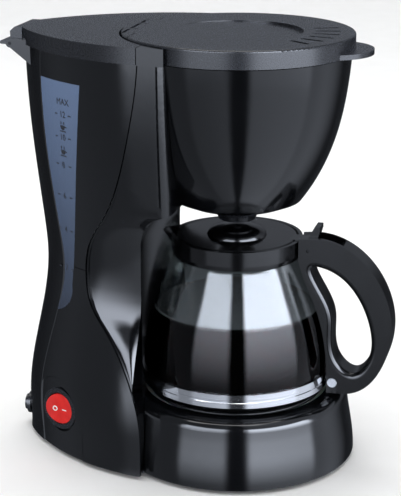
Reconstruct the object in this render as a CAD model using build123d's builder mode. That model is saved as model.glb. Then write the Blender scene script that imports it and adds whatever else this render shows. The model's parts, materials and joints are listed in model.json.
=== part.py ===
"""Drip coffee maker: tower with a water tank, brew head, heated base and a glass jug with a hinged lid.

Millimetres, +Z up. The origin is on the table, on the brew axis, and the front of the machine is -Y.
"""
from build123d import *
from math import asin, atan2, cos, degrees, hypot, radians, sin, sqrt
import os

os.makedirs("parts", exist_ok=True)

# Tower: its plan is two long side arcs that run into a round nose at the rear
flank_x = 69.2
flank_y = 31.4
nose_y = 126.6
nose_r = 33.0
flank_r = hypot(flank_x, nose_y - flank_y) + nose_r
flank_end = degrees(atan2(nose_y - flank_y, flank_x))
skirt_z = 3.0
rim_z = 297.0
waist_start = 30.0
waist_z = 142.0
waist_inset = 16.4
rim_inset = 4.5
wall = 2.6
seam_gap = 0.5
section_step = 24.0

# Brew head: bowl, nozzle and the two lids on top
bowl_rim_r = 79.0
bowl_base_z = 184.8
bowl_wall = 2.4
lid_top_z = 310.0
disc_r = 81.0
disc_t = 3.5
tank_lid_top_z = 308.6
tank_lid_t = 3.6
tank_lid_inset = 2.0
lid_gap_r = 82.4
neck_y = 50.0

# Base with its heated plate, and the recess for the jug
drum_foot_r = 87.4
drum_top_r = 82.0
drum_top_z = 51.0
plate_r = 63.0
bay_r = 75.0
wing_y = 57.0

# Floor plate and the posts that its screws go up into
floor_z = 3.2
floor_t = 2.0
floor_inset = 6.4
post_spots = [(-42.0, -61.2), (42.0, -61.2), (-18.0, 137.0), (18.0, 137.0)]
post_r = 4.5
screw_r = 1.7
screw_depth = 14.0

# Jug
jug_floor_z = 51.4
jug_r = 67.4
jug_wall = 2.4
collar_r = 47.0
collar_top_z = 163.5
handle_w = 22.0
jug_hinge_y = -54.0
jug_hinge_z = 158.0

# Hinges and their pins
pin_r = 1.2
pin_play = 0.06
disc_hinge_y = 77.5
disc_hinge_z = 306.6
tank_hinge_y = 160.0
tank_hinge_z = 297.6


def smooth(t):
    """Eases from 0 to 1 with level ends."""
    return t * t * (3 - 2 * t)


def tower_inset(z):
    """How far the tower wall stands inside its footprint at height z."""
    if z <= waist_start:
        return 0.0
    if z <= waist_z:
        return waist_inset * smooth((z - waist_start) / (waist_z - waist_start))
    rise = min((z - waist_z) / (rim_z - waist_z), 1.0)
    return waist_inset - (waist_inset - rim_inset) * smooth(rise**0.75)


def tower_plan(inset, front_y):
    """The edges of the tower's plan, closed by a straight line at front_y."""
    side_r = flank_r - inset
    start = degrees(asin((front_y - flank_y) / side_r))
    sweep_angle = flank_end - start
    with BuildLine() as outline:
        right = CenterArc((-flank_x, flank_y), side_r, start, sweep_angle)
        CenterArc((0, nose_y), nose_r - inset, flank_end, 180 - 2 * flank_end)
        left = CenterArc((flank_x, flank_y), side_r, 180 - flank_end, sweep_angle)
        Line(left @ 1, right @ 0)
    return outline.edges()


def tower_body(inset, front_y, low, high, corner=0):
    """Lofts the waisted tower between two heights, set in by inset all round."""
    count = max(2, round((high - low) / section_step))
    levels = [low + (high - low) * i / count for i in range(count + 1)]
    with BuildPart() as body:
        for z in levels:
            with BuildSketch(Plane.XY.offset(z)) as plan:
                make_face(tower_plan(tower_inset(z) + inset, front_y))
                if corner:
                    fillet(plan.vertices().group_by(Axis.Y)[0], corner)
        loft()
    return body.part


def seam_line(shift):
    """The C-shaped seam between side panels and column, in the side view."""
    waist = (99 + shift, waist_z)
    lower = Spline((neck_y + shift, 0), (52 + shift, 46), (82 + shift, 104), waist, tangents=((0, 1), (0, 1)))
    upper = Spline(waist, (80 + shift, 187), (58 + shift, 250), (neck_y + shift, 312), tangents=((0, 1), (0, 1)))
    return lower, upper


def save(part, name):
    """Labels a piece and writes it to its own file."""
    part.label = name
    export_step(part, f"parts/{name}.step")


# Shared construction solids: tower skin, bay, bowl envelope and the rear zone behind the seam
tower_skin = tower_body(0, 20, skirt_z, rim_z)
tower_core = tower_body(wall, 18, skirt_z - 1, rim_z + 1)


def seam_zone(shift, end_y):
    """All that lies between the seam and end_y, in front of it or behind it."""
    with BuildPart() as zone:
        with BuildSketch(Plane.YZ):
            with BuildLine():
                lower_seam, upper_seam = seam_line(shift)
                Polyline(upper_seam @ 1, (end_y, 312), (end_y, 0), lower_seam @ 0)
            make_face()
        extrude(amount=120, both=True)
    return zone.part


rear_zone = seam_zone(0, 200)
with BuildPart() as rear_skin:
    add(tower_skin)
    add(tower_core, mode=Mode.SUBTRACT)
    add(rear_zone, mode=Mode.INTERSECT)


def bay_space(radius, top_z, top_r):
    """The upright hollow that the jug stands in, with a domed ceiling."""
    spring_z = top_z - 38
    with BuildPart() as space:
        with BuildSketch(Plane.XZ):
            with BuildLine():
                ceiling = JernArc((radius, spring_z), (0, 1), radius - top_r, 90)
                Polyline(ceiling @ 1, (0, (ceiling @ 1).Y), (0, 0), (radius, 0), (radius, spring_z))
            make_face()
        revolve(axis=Axis.Z)
    return space.part


bay = bay_space(bay_r, 188, bay_r - 38)
bay_skin = bay_space(bay_r + wall, 188 + wall, bay_r - 38)


def bowl_side(inset):
    """Points down the bowl's side, from the rim to the lower corner."""
    side = [(bowl_rim_r, rim_z - 0.4), (76.4, 272), (69.6, 239), (59.8, 214), (46, 191.6)]
    return [(r - inset, z) for r, z in side]


def bowl_floor(drop):
    """Points under the bowl, from the lower corner to the flat round the nozzle."""
    return [(36 - drop, 187.4 - drop), (18, bowl_base_z - drop)]


with BuildPart() as bowl_envelope:
    with BuildSketch(Plane.XZ):
        with BuildLine():
            Spline(*bowl_side(-0.3))
            Polyline((46.3, 191.6), *bowl_floor(0.3), (0, bowl_base_z - 0.3), (0, 320), (79.3, 320), (79.3, 296.6))
        make_face()
    revolve(axis=Axis.Z)

# Rear cover: the nose strip of the tower, hourglass shaped, with the lid's hinge ears
cover_half_top = 37.0
cover_half_waist = 30.5


def cover_zone(grow):
    """The strip that the rear cover takes from the tower skin."""
    with BuildPart() as zone:
        with BuildSketch(Plane.XZ):
            with BuildLine():
                side = ThreePointArc(
                    (cover_half_top + grow, 0), (cover_half_waist + grow, waist_z), (cover_half_top + grow, 300)
                )
                far = ThreePointArc(
                    (-cover_half_top - grow, 0), (-cover_half_waist - grow, waist_z), (-cover_half_top - grow, 300)
                )
                Line(side @ 1, far @ 1)
                Line(side @ 0, far @ 0)
            make_face()
        extrude(amount=-220)
        with Locations((0, 50, 150)):
            Box(200, 100, 320, mode=Mode.SUBTRACT)
    return zone.part


cover_strip = cover_zone(0)
cover_clear = cover_zone(seam_gap)
ear_x = 21.0
ear_w = 4.0
ear_r = 3.0
gland_z = 16.0
post_h = 24.0
with BuildPart() as rear_cover:
    add(rear_skin.part)
    add(cover_strip, mode=Mode.INTERSECT)
    for x in (ear_x, -ear_x):
        with BuildSketch(Plane.YZ.offset(x - ear_w / 2)):
            with BuildLine():
                tip = CenterArc((tank_hinge_y, tank_hinge_z), ear_r, -90, 180)
                Polyline(tip @ 1, (144.5, tank_hinge_z + ear_r), (143.5, 282), tip @ 0)
            make_face()
        extrude(amount=ear_w)
    with Locations(Location((0, tank_hinge_y, tank_hinge_z), (0, 90, 0))):
        Cylinder(pin_r + 0.02, 60, mode=Mode.SUBTRACT)
    with Locations(Location((0, 150, gland_z), (90, 0, 0))):
        Cylinder(6.0, 40, mode=Mode.SUBTRACT)
    with Locations(*[(x, y, floor_z + floor_t + post_h / 2) for x, y in post_spots[2:]]):
        Cylinder(post_r, post_h)
    with Locations(*[(x, y + 7.5, floor_z + floor_t + post_h / 2) for x, y in post_spots[2:]]):
        Box(2.4, 15.5, post_h)
    with Locations(*[(x, y, floor_z + floor_t) for x, y in post_spots[2:]]):
        Cylinder(screw_r, 2 * screw_depth, mode=Mode.SUBTRACT)
save(rear_cover.part, "rear_cover")

# Water gauge: a slot in the near side panels with a clear strip set in it
with BuildPart() as gauge_zone:
    with BuildSketch(Plane.YZ):
        with BuildLine():
            front_edge = Spline((95, 278.5), (103.5, 202), (112, 128))
            foot = ThreePointArc((112, 128), (115.5, 113), (126, 106))
            Polyline(foot @ 1, (150, 106), (150, 278.5), front_edge @ 0)
        make_face()
    extrude(amount=-110)

with BuildPart() as level_window:
    add(tower_body(0.4, 20, 100, 285))
    add(tower_body(wall, 18, 99, 286), mode=Mode.SUBTRACT)
    add(gauge_zone.part, mode=Mode.INTERSECT)
    add(cover_clear, mode=Mode.SUBTRACT)
save(level_window.part, "level_window")

# Switch insert: its face is turned towards the side, more than the wall around it
switch_centre = Vector(-51.5, 119.8, 36.0)
switch_normal = Vector(-0.92, 0.392, 0)
switch_plane = Plane(origin=switch_centre, x_dir=(0.392, 0.92, 0), z_dir=switch_normal)
insert_low_y = 98.0
insert_high_y = 142.0
insert_top_z = 58.0


def insert_zone(grow):
    """The round-topped patch of the lower wall that the switch insert takes."""
    mid_y = (insert_low_y + insert_high_y) / 2
    half = (insert_high_y - insert_low_y) / 2 + grow
    with BuildPart() as zone:
        with BuildSketch(Plane.YZ):
            with BuildLine():
                crown = ThreePointArc(
                    (mid_y - half, insert_top_z - 14), (mid_y, insert_top_z + grow), (mid_y + half, insert_top_z - 14)
                )
                Polyline(crown @ 1, (mid_y + half, 0), (mid_y - half, 0), crown @ 0)
            make_face()
        extrude(amount=-110)
    return zone.part


with BuildPart() as switch_panel:
    add(tower_body(0.8, 20, skirt_z, 70))
    add(tower_body(6.0, 18, skirt_z - 1, 71), mode=Mode.SUBTRACT)
    add(insert_zone(0), mode=Mode.INTERSECT)
    add(cover_clear, mode=Mode.SUBTRACT)
    with BuildSketch(switch_plane.offset(-1.5)):
        Circle(13.9)
    extrude(amount=-30, mode=Mode.SUBTRACT)
    with BuildSketch(switch_plane.offset(-1.5)):
        Ellipse(18.2, 17.0)
    extrude(amount=30, mode=Mode.SUBTRACT)
save(switch_panel.part, "switch_panel")

# Side panels: upper pair around the tank, lower pair around the base with a return beside the drum
return_top_z = 55.0
with BuildPart() as panel_return:
    add(tower_body(wall - 0.2, 20, floor_z + floor_t + 0.4, return_top_z))
    add(rear_zone, mode=Mode.INTERSECT)
    add(seam_zone(wall, 200), mode=Mode.SUBTRACT)
    with Locations((0, 0, 100)):
        Cylinder(bay_r + wall + 0.6, 300, mode=Mode.SUBTRACT)

insert_clear = insert_zone(seam_gap)
for side, name in ((-1, "left"), (1, "right")):
    with BuildPart() as upper_panel:
        add(rear_skin.part)
        with Locations((side * 60, 100, waist_z + seam_gap / 2 + 100)):
            Box(120, 200, 200, mode=Mode.INTERSECT)
        add(cover_clear, mode=Mode.SUBTRACT)
        if side < 0:
            add(gauge_zone.part, mode=Mode.SUBTRACT)
    save(upper_panel.part, f"tank_panel_{name}")
    with BuildPart() as lower_panel:
        add(rear_skin.part)
        add(panel_return.part)
        with Locations((side * 60, 100, waist_z - seam_gap / 2 - 100)):
            Box(120, 200, 200, mode=Mode.INTERSECT)
        add(cover_clear, mode=Mode.SUBTRACT)
        if side < 0:
            add(gauge_zone.part, mode=Mode.SUBTRACT)
            add(insert_clear, mode=Mode.SUBTRACT)
    save(lower_panel.part, f"base_panel_{name}")

# Column: the wings either side of the jug, the neck that carries the brew head, and the wall behind the jug
column_inset = 1.0
neck_front_y = 31.0
arch_r = 28.0
arch_spring_z = 164.0
lining_inset = 3.2
neck_corner = 8.0

front_zone = seam_zone(-seam_gap, -120)


def neck_zone(shift):
    """The side view behind the column's front edge: upright wing, arch, then the neck."""
    with BuildPart() as zone:
        with BuildSketch(Plane.YZ):
            with BuildLine():
                arch = JernArc((wing_y + shift, arch_spring_z + shift), (0, 1), arch_r, 90)
                Polyline(arch @ 1, (neck_front_y - 12, (arch @ 1).Y), (neck_front_y - 12, 320), (200, 320))
                Polyline((200, 320), (200, 0), (wing_y + shift, 0), arch @ 0)
            make_face()
        extrude(amount=120, both=True)
    return zone.part


def column_block(shift):
    """The column as a solid block: two wings that run into the neck above the arch."""
    top = rim_z + shift
    inset = column_inset + shift
    with BuildPart() as block:
        add(tower_body(inset, neck_front_y + shift, drum_top_z - shift, top, neck_corner - shift))
        add(neck_zone(shift), mode=Mode.INTERSECT)
    return block.part


lining = tower_body(lining_inset, neck_front_y, drum_top_z, rim_z)
with BuildPart() as bay_lining:
    add(bay_skin)
    add(bay, mode=Mode.SUBTRACT)
    add(lining, mode=Mode.INTERSECT)
    add(neck_zone(0), mode=Mode.INTERSECT)

with BuildPart() as wing_shell:
    add(column_block(0))
    add(column_block(wall), mode=Mode.SUBTRACT)

with BuildPart() as wing_foot:
    add(wing_shell.part)
    add(lining, mode=Mode.INTERSECT)
    with Locations((0, wing_y - 10, drum_top_z + 12)):
        Box(200, 2 * (wall + 10), 24, mode=Mode.INTERSECT)

with BuildPart() as column:
    add(wing_shell.part)
    add(front_zone, mode=Mode.INTERSECT)
    add(wing_foot.part)
    add(bay_lining.part)
    add(bay, mode=Mode.SUBTRACT)
    with BuildSketch(Plane.XY.offset(rim_z)):
        make_face(tower_plan(tank_lid_inset, neck_front_y))
        Circle(lid_gap_r, mode=Mode.SUBTRACT)
        with Locations((0, neck_y - 0.3 + 100)):
            Rectangle(300, 200, mode=Mode.SUBTRACT)
    extrude(amount=tank_lid_top_z - rim_z)
    add(bowl_envelope.part, mode=Mode.SUBTRACT)
save(column.part, "column")

# Base: a round drum that runs into the tower, its floor plate, feet and screws
drum_wall = 2.4
drum_mouth_r = 66.9
foot_spots = [(-52, -45), (52, -45), (-48, 95), (48, 95)]


def drum_side(inset):
    """Points up the drum's side, from the table to the shoulder."""
    return [(r - inset, z) for r, z in ((drum_foot_r, skirt_z), (86.9, 12), (85.0, 25), (drum_top_r, 44))]


with BuildPart() as behind_drum:
    add(seam_zone(-seam_gap, 200))
    Cylinder(bay_r + wall, 200, mode=Mode.SUBTRACT)

with BuildPart() as base_drum:
    with BuildSketch(Plane.XZ):
        with BuildLine():
            outer = Spline(*drum_side(0))
            shoulder = JernArc(outer @ 1, outer % 1, 7.0, 75)
            inner = Spline(*drum_side(drum_wall))
            Polyline(shoulder @ 1, (74, drum_top_z), (drum_mouth_r, drum_top_z), (drum_mouth_r, drum_top_z - drum_wall))
            Polyline((drum_mouth_r, drum_top_z - drum_wall), (75, drum_top_z - drum_wall), inner @ 1)
            Line(outer @ 0, inner @ 0)
        make_face()
    revolve(axis=Axis.Z)
    with Locations(*[(x, y, (floor_z + floor_t + drum_top_z - 1) / 2) for x, y in post_spots[:2]]):
        Cylinder(post_r, drum_top_z - 1 - floor_z - floor_t)
    with Locations(*[(x, y, floor_z + floor_t) for x, y in post_spots[:2]]):
        Cylinder(screw_r, 2 * screw_depth, mode=Mode.SUBTRACT)
    add(behind_drum.part, mode=Mode.SUBTRACT)
save(base_drum.part, "base_drum")

with BuildPart() as base_plate:
    with BuildSketch(Plane.XY.offset(floor_z)):
        Circle(drum_foot_r - drum_wall - 0.6)
        make_face(tower_plan(floor_inset, neck_y))
        with Locations(*post_spots):
            Circle(screw_r, mode=Mode.SUBTRACT)
        with GridLocations(11, 1, 7, 1):
            SlotOverall(40, 4, rotation=90, mode=Mode.SUBTRACT)
    extrude(amount=floor_t)
    with BuildSketch(Plane.XY.offset(floor_z + floor_t)):
        with Locations((0, 0)):
            Circle(60)
            Circle(58, mode=Mode.SUBTRACT)
    extrude(amount=4)
save(base_plate.part, "base_plate")

with BuildPart() as rubber_feet:
    with Locations(*[(x, y, floor_z / 2) for x, y in foot_spots]):
        Cylinder(7.0, floor_z)
    chamfer(rubber_feet.edges().group_by(Axis.Z)[0], 0.8)
save(rubber_feet.part, "rubber_feet")

with BuildPart() as base_screws:
    with Locations(*[(x, y, floor_z - 0.8) for x, y in post_spots]):
        Cylinder(3.2, 1.6)
    with Locations(*[(x, y, floor_z + 7) for x, y in post_spots]):
        Cylinder(screw_r - 0.05, screw_depth)
save(base_screws.part, "base_screws")

# Heater under the plate: a water tube and an element side by side in a U, clamped up to the plate
plate_t = 4.0
plate_top_z = 51.0
plate_under_z = plate_top_z - plate_t
tube_r = 3.8
hose_r = 5.2
element_r = 3.6
loop_r = 38.0
element_loop_r = loop_r - tube_r - element_r
tube_end_y = 60.0
pad_t = 2.2
pad_w = 13.0
hose_lap = 10.0
clamp_y = 12.0
pad_z = plate_under_z - pad_t
clamp_z = pad_z - 2 * tube_r

with BuildPart() as hot_plate:
    with BuildSketch(Plane.XZ):
        with BuildLine():
            rim = JernArc((plate_r, plate_top_z - 1.6), (0, 1), 1.6, 90)
            Polyline(rim @ 1, (plate_r - 5, plate_top_z), (plate_r - 7, plate_top_z - 0.5), (0, plate_top_z - 0.5))
            Polyline((0, plate_top_z - 0.5), (0, plate_under_z), (plate_r, plate_under_z), rim @ 0)
        make_face()
    revolve(axis=Axis.Z)
    with BuildSketch(Plane.XY.offset(pad_z)):
        Circle(loop_r + 3)
        with Locations((0, 20)):
            Rectangle(2 * loop_r + 6, 40)
        Circle(loop_r + 3 - pad_w, mode=Mode.SUBTRACT)
        with Locations((0, 40)):
            Rectangle(2 * (loop_r + 3 - pad_w), 80, mode=Mode.SUBTRACT)
    extrude(amount=pad_t)
    with Locations((0, clamp_y, plate_under_z - 8)):
        Cylinder(2.4, 16)
save(hot_plate.part, "hot_plate")

with BuildPart() as plate_seal:
    with BuildSketch(Plane.XZ):
        with BuildLine():
            Polyline(
                (plate_r, plate_under_z),
                (plate_r, plate_top_z - 2),
                (drum_mouth_r, plate_top_z - 0.2),
                (drum_mouth_r, drum_top_z - drum_wall),
                (drum_mouth_r + 2.3, drum_top_z - drum_wall),
                (drum_mouth_r + 2.3, plate_under_z),
                close=True,
            )
        make_face()
    revolve(axis=Axis.Z)
save(plate_seal.part, "plate_seal")


def u_tube(bend_r, end_y, z, outer, inner):
    """A tube bent into a U that opens to the rear."""
    with BuildPart() as tube:
        with BuildLine():
            near = Line((-bend_r, end_y, z), (-bend_r, 0, z))
            turn = ThreePointArc((-bend_r, 0, z), (0, -bend_r, z), (bend_r, 0, z))
            Line(turn @ 1, (bend_r, end_y, z))
        with BuildSketch(Plane(origin=near @ 0, z_dir=near % 0)):
            Circle(outer)
            if inner:
                Circle(inner, mode=Mode.SUBTRACT)
        sweep()
    return tube.part


def hose(points, bend):
    """A hose along straight runs joined by bends, from the first point to the last."""
    with BuildPart() as tube:
        with BuildLine() as route:
            FilletPolyline(*points, radius=bend)
        path = route.wires()[0]
        with BuildSketch(Plane(origin=path @ 0, z_dir=path % 0)):
            Circle(hose_r)
            Circle(tube_r, mode=Mode.SUBTRACT)
        sweep()
    return tube.part


tube_z = pad_z - tube_r
element_z = pad_z - element_r
save(u_tube(loop_r, tube_end_y, tube_z, tube_r, tube_r - 1), "heater_tube")

with BuildPart() as heating_element:
    add(u_tube(element_loop_r, 42, element_z, element_r, 0))
    with Locations(*[Location((x, 47, element_z), (90, 0, 0)) for x in (-element_loop_r, element_loop_r)]):
        Cylinder(1.3, 12)
save(heating_element.part, "heating_element")

with BuildPart() as heater_clamp:
    with BuildSketch(Plane.XY.offset(clamp_z - 1.6)):
        with Locations((0, clamp_y)):
            SlotOverall(2 * loop_r + 14, 14)
            Circle(2.5, mode=Mode.SUBTRACT)
    extrude(amount=1.6)
save(heater_clamp.part, "heater_clamp")

with BuildPart() as clamp_nut:
    with BuildSketch(Plane.XY.offset(clamp_z - 5.2)):
        with Locations((0, clamp_y)):
            RegularPolygon(4.4, 6)
            Circle(2.45, mode=Mode.SUBTRACT)
    extrude(amount=3.6)
save(clamp_nut.part, "clamp_nut")

with BuildPart() as thermostat:
    with Locations((0, -12, plate_under_z - 3.5)):
        Cylinder(8.5, 7)
    with Locations((-4, -12, plate_under_z - 10), (4, -12, plate_under_z - 10)):
        Box(0.8, 5, 6)
save(thermostat.part, "thermostat")

with BuildPart() as thermal_fuse:
    with Locations(Location((0, 30, plate_under_z - 2.2), (0, 90, 0))):
        Cylinder(2.2, 18)
        Cylinder(0.7, 40)
save(thermal_fuse.part, "thermal_fuse")

# Water circuit: tank outlet, one-way valve, hose to the heater, riser and spray arm
outlet = (20.0, 110.0)
tank_floor_z = 103.0
tank_top_z = 290.0
tank_wall = 1.8
tank_inset = 4.2
tank_front_r = 91.0
tank_front_y = 72.0
valve_top_z = 98.0
valve_low_z = 84.0
riser_y = 85.2
arm_z = 296.0

with BuildPart() as water_tank:
    add(tower_body(tank_inset, tank_front_y, tank_floor_z, tank_top_z))
    with Locations((0, 0, 200)):
        Cylinder(tank_front_r, 240, mode=Mode.SUBTRACT)
    inner_body = tower_body(tank_inset + tank_wall, tank_front_y + tank_wall, tank_floor_z + 2, tank_top_z + 1)
    inner_front = Cylinder(tank_front_r + tank_wall, 800, mode=Mode.PRIVATE)
    add(inner_body - inner_front, mode=Mode.SUBTRACT)
    with BuildSketch(Plane.XY.offset(tank_top_z)):
        make_face(tower_plan(tower_inset(tank_top_z) + wall + 0.5, neck_y + 3))
        make_face(
            tower_plan(tower_inset(tank_top_z) + tank_inset + tank_wall, tank_front_y + tank_wall),
            mode=Mode.SUBTRACT,
        )
        Circle(tank_front_r + tank_wall)
        with Locations((0, -100 + neck_y + 3)):
            Rectangle(300, 200, mode=Mode.SUBTRACT)
        Circle(bowl_rim_r + 1, mode=Mode.SUBTRACT)
        with Locations((0, riser_y)):
            Circle(hose_r + 0.4, mode=Mode.SUBTRACT)
    deck = extrude(amount=2, mode=Mode.PRIVATE)
    deck_edge = tower_body(wall + 0.5, 40, tank_top_z - 10, tank_top_z + 6)
    add(deck & deck_edge)
    with Locations((outlet[0], outlet[1], (tank_floor_z + 1 + valve_top_z - 6) / 2)):
        Cylinder(tube_r, tank_floor_z + 1 - valve_top_z + 6)
    with Locations((outlet[0], outlet[1], tank_floor_z)):
        Cylinder(tube_r - 1.2, 40, mode=Mode.SUBTRACT)
save(water_tank.part, "water_tank")

with BuildPart() as check_valve:
    with Locations((outlet[0], outlet[1], (valve_top_z + valve_low_z) / 2)):
        Cylinder(6.4, valve_top_z - valve_low_z)
    with Locations((outlet[0], outlet[1], valve_low_z - 5)):
        Cylinder(tube_r, 10)
    with Locations((outlet[0], outlet[1], valve_top_z - 3)):
        Cylinder(tube_r, 6, mode=Mode.SUBTRACT)
    with Locations((outlet[0], outlet[1], valve_low_z)):
        Cylinder(2.0, 40, mode=Mode.SUBTRACT)
save(check_valve.part, "check_valve")

hose_start_y = tube_end_y - hose_lap
inlet_route = [(*outlet, valve_low_z), (*outlet, 56), (loop_r, 84, tube_z), (loop_r, hose_start_y, tube_z)]
save(hose(inlet_route, 14), "inlet_hose")
riser_route = [(-loop_r, hose_start_y, tube_z), (-loop_r, 84, tube_z), (0, riser_y, 72), (0, riser_y, arm_z - 12)]
save(hose(riser_route, 12), "riser_hose")

with BuildPart() as hose_clips:
    clip_places = [Location((x, tube_end_y - 5, tube_z), (90, 0, 0)) for x in (-loop_r, loop_r)]
    clip_places += [Location((*outlet, valve_low_z - 5)), Location((0, riser_y, arm_z - 17))]
    with Locations(*clip_places):
        Cylinder(hose_r + 0.5, 5)
    with Locations(*clip_places):
        Cylinder(hose_r, 5, mode=Mode.SUBTRACT)
save(hose_clips.part, "hose_clips")

with BuildPart() as spray_arm:
    with BuildLine() as arm_route:
        FilletPolyline((0, riser_y, arm_z - 22), (0, riser_y, arm_z), (0, 10, arm_z), radius=6)
    arm_path = arm_route.wires()[0]
    with BuildSketch(Plane(origin=arm_path @ 0, z_dir=arm_path % 0)):
        Circle(tube_r)
        Circle(tube_r - 1, mode=Mode.SUBTRACT)
    sweep()
    with Locations((0, 0, arm_z - 1)):
        Cylinder(16, 9)
        Cylinder(14.6, 5, mode=Mode.SUBTRACT)
    with Locations((0, 0, arm_z - 5)):
        with PolarLocations(9, 8):
            Cylinder(1.2, 6, mode=Mode.SUBTRACT)
save(spray_arm.part, "spray_arm")

# Brew head: bowl, its lid bridge, drip valve, filter basket and mesh
nozzle_top_z = bowl_base_z
nozzle_low_z = 175.6
nozzle_neck_r = 8.9
hole_r = 9.0
valve_bore_r = 7.8
valve_seat_z = 177.6
valve_cap_z = 187.2
plunger_drop = 2.9
plunger_tip_z = 172.3
plunger_tip_r = 4.4

with BuildPart() as brew_bowl:
    with BuildSketch(Plane.XZ):
        with BuildLine():
            outer = Spline(*bowl_side(0))
            inner = Spline(*bowl_side(bowl_wall))
            Line(outer @ 0, inner @ 0)
            Polyline(outer @ 1, *bowl_floor(0), (hole_r, bowl_base_z), (hole_r, bowl_base_z + bowl_wall))
            Polyline((hole_r, bowl_base_z + bowl_wall), *reversed(bowl_floor(-bowl_wall)), inner @ 1)
        make_face()
    revolve(axis=Axis.Z)
    with Locations((0, bowl_rim_r, rim_z)):
        Box(2 * tube_r + 1.6, 12, 11, mode=Mode.SUBTRACT)
save(brew_bowl.part, "brew_bowl")

bridge_y = 72.5
barrel_r = 2.6
bridge_z = lid_top_z - barrel_r
barrel_gap = 0.4
knuckle_x = 12.0
knuckle_w = 4.0
bridge_low_z = rim_z - 0.4
bridge_end_y = 66.0
hinge_half = 30.0
lid_skirt_z = 297.5
lid_edge = 1.5

with BuildPart() as hinge_bridge:
    with BuildSketch(Plane.XY.offset(bridge_low_z)):
        Circle(disc_r)
        with Locations((0, bridge_end_y - 100)):
            Rectangle(300, 200, mode=Mode.SUBTRACT)
        with Locations((0, bridge_y - 50)):
            Rectangle(2 * hinge_half, 100, mode=Mode.SUBTRACT)
    extrude(amount=lid_top_z - bridge_low_z)
    fillet(hinge_bridge.edges().filter_by(GeomType.CIRCLE).group_by(Axis.Z)[-1], lid_edge)
    with BuildSketch(Plane.XY.offset(bridge_low_z)):
        Circle(disc_r - 2.2)
    extrude(amount=lid_top_z - 2.4 - bridge_low_z, mode=Mode.SUBTRACT)
    with Locations(Location((0, bridge_y, bridge_z), (0, 90, 0))):
        Cylinder(barrel_r + barrel_gap, 2 * hinge_half, mode=Mode.SUBTRACT)
    with Locations((0, bridge_y + (barrel_r + barrel_gap) / 2, bridge_z + barrel_r)):
        Box(2 * hinge_half, barrel_r + barrel_gap, 2 * barrel_r, mode=Mode.SUBTRACT)
    for x in (-knuckle_x, knuckle_x):
        with BuildSketch(Plane.YZ.offset(x - knuckle_w / 2)):
            with Locations((bridge_y, bridge_z)):
                Circle(barrel_r)
            with Locations((bridge_y + 3, bridge_z)):
                Rectangle(6, 2 * barrel_r)
        extrude(amount=knuckle_w)
    with Locations(Location((0, bridge_y, bridge_z), (0, 90, 0))):
        Cylinder(pin_r + pin_play / 2, 100, mode=Mode.SUBTRACT)
    with Locations((0, disc_r, bridge_low_z)):
        Box(2 * tube_r + 1.6, 20, 9, mode=Mode.SUBTRACT)
save(hinge_bridge.part, "hinge_bridge")

with BuildPart() as filter_lid:
    with BuildSketch(Plane.XZ):
        with BuildLine():
            edge = JernArc((disc_r, lid_top_z - lid_edge), (0, 1), lid_edge, 90)
            Polyline(edge @ 1, (0, lid_top_z), (0, lid_top_z - disc_t), (disc_r - 2.1, lid_top_z - disc_t))
            Polyline((disc_r - 2.1, lid_top_z - disc_t), (disc_r - 2.1, lid_skirt_z), (disc_r, lid_skirt_z), edge @ 0)
        make_face()
    revolve(axis=Axis.Z)
    with BuildSketch(Plane.XY.offset(lid_skirt_z)):
        with BuildLine():
            tab = ThreePointArc((-28, -76), (0, -94.5), (28, -76))
            Line(tab @ 1, tab @ 0)
        make_face()
        Circle(disc_r - 1, mode=Mode.SUBTRACT)
    extrude(amount=3.4)
    with Locations((0, bridge_y + 50, lid_top_z)):
        Box(300, 100, 60, mode=Mode.SUBTRACT)
    for side in (-1, 1):
        with Locations((side * (hinge_half - barrel_gap + 50), bridge_end_y - 2 * barrel_gap + 50, lid_top_z)):
            Box(100, 100, 60, mode=Mode.SUBTRACT)
    with Locations(Location((0, bridge_y, bridge_z), (0, 90, 0))):
        Cylinder(barrel_r, 2 * (hinge_half - barrel_gap))
    with Locations((-knuckle_x, bridge_y, bridge_z), (knuckle_x, bridge_y, bridge_z)):
        Box(knuckle_w + 0.8, 2 * (barrel_r + barrel_gap), 30, mode=Mode.SUBTRACT)
    with Locations(Location((0, bridge_y, bridge_z), (0, 90, 0))):
        Cylinder(pin_r + pin_play, 200, mode=Mode.SUBTRACT)
    dish_plane = Plane(origin=(0, 0, lid_top_z - 1.2)).rotated((1.5, 0, 0))
    with BuildSketch(dish_plane):
        Circle(45)
    extrude(amount=10, mode=Mode.SUBTRACT)
    with BuildSketch(Plane.XY.offset(lid_top_z - disc_t - 1)):
        with PolarLocations(62, 6, start_angle=-126, angular_range=72):
            SlotOverall(18, 3.2)
    extrude(amount=10, mode=Mode.SUBTRACT)
save(filter_lid.part, "filter_lid")

with BuildPart() as filter_lid_pin:
    with Locations(Location((0, bridge_y, bridge_z), (0, 90, 0))):
        Cylinder(pin_r, 2 * hinge_half - 2)
save(filter_lid_pin.part, "filter_lid_pin")

with BuildPart() as drip_nozzle:
    with BuildSketch(Plane.XZ):
        with BuildLine():
            Polyline(
                (plunger_tip_r + 0.6, nozzle_low_z),
                (12.9, nozzle_low_z),
                (14.9, 179.4),
                (16.3, nozzle_top_z),
                (nozzle_neck_r, nozzle_top_z),
                (nozzle_neck_r, valve_cap_z + 1.4),
                (2.3, valve_cap_z + 1.4),
                (2.3, valve_cap_z),
                (valve_bore_r, valve_cap_z),
                (valve_bore_r, valve_seat_z),
                (plunger_tip_r + 0.6, valve_seat_z),
                close=True,
            )
        make_face()
    revolve(axis=Axis.Z)
    with Locations((0, 0, valve_cap_z)):
        with PolarLocations(5.4, 5):
            Cylinder(1.6, 8, mode=Mode.SUBTRACT)
save(drip_nozzle.part, "drip_nozzle")

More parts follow.
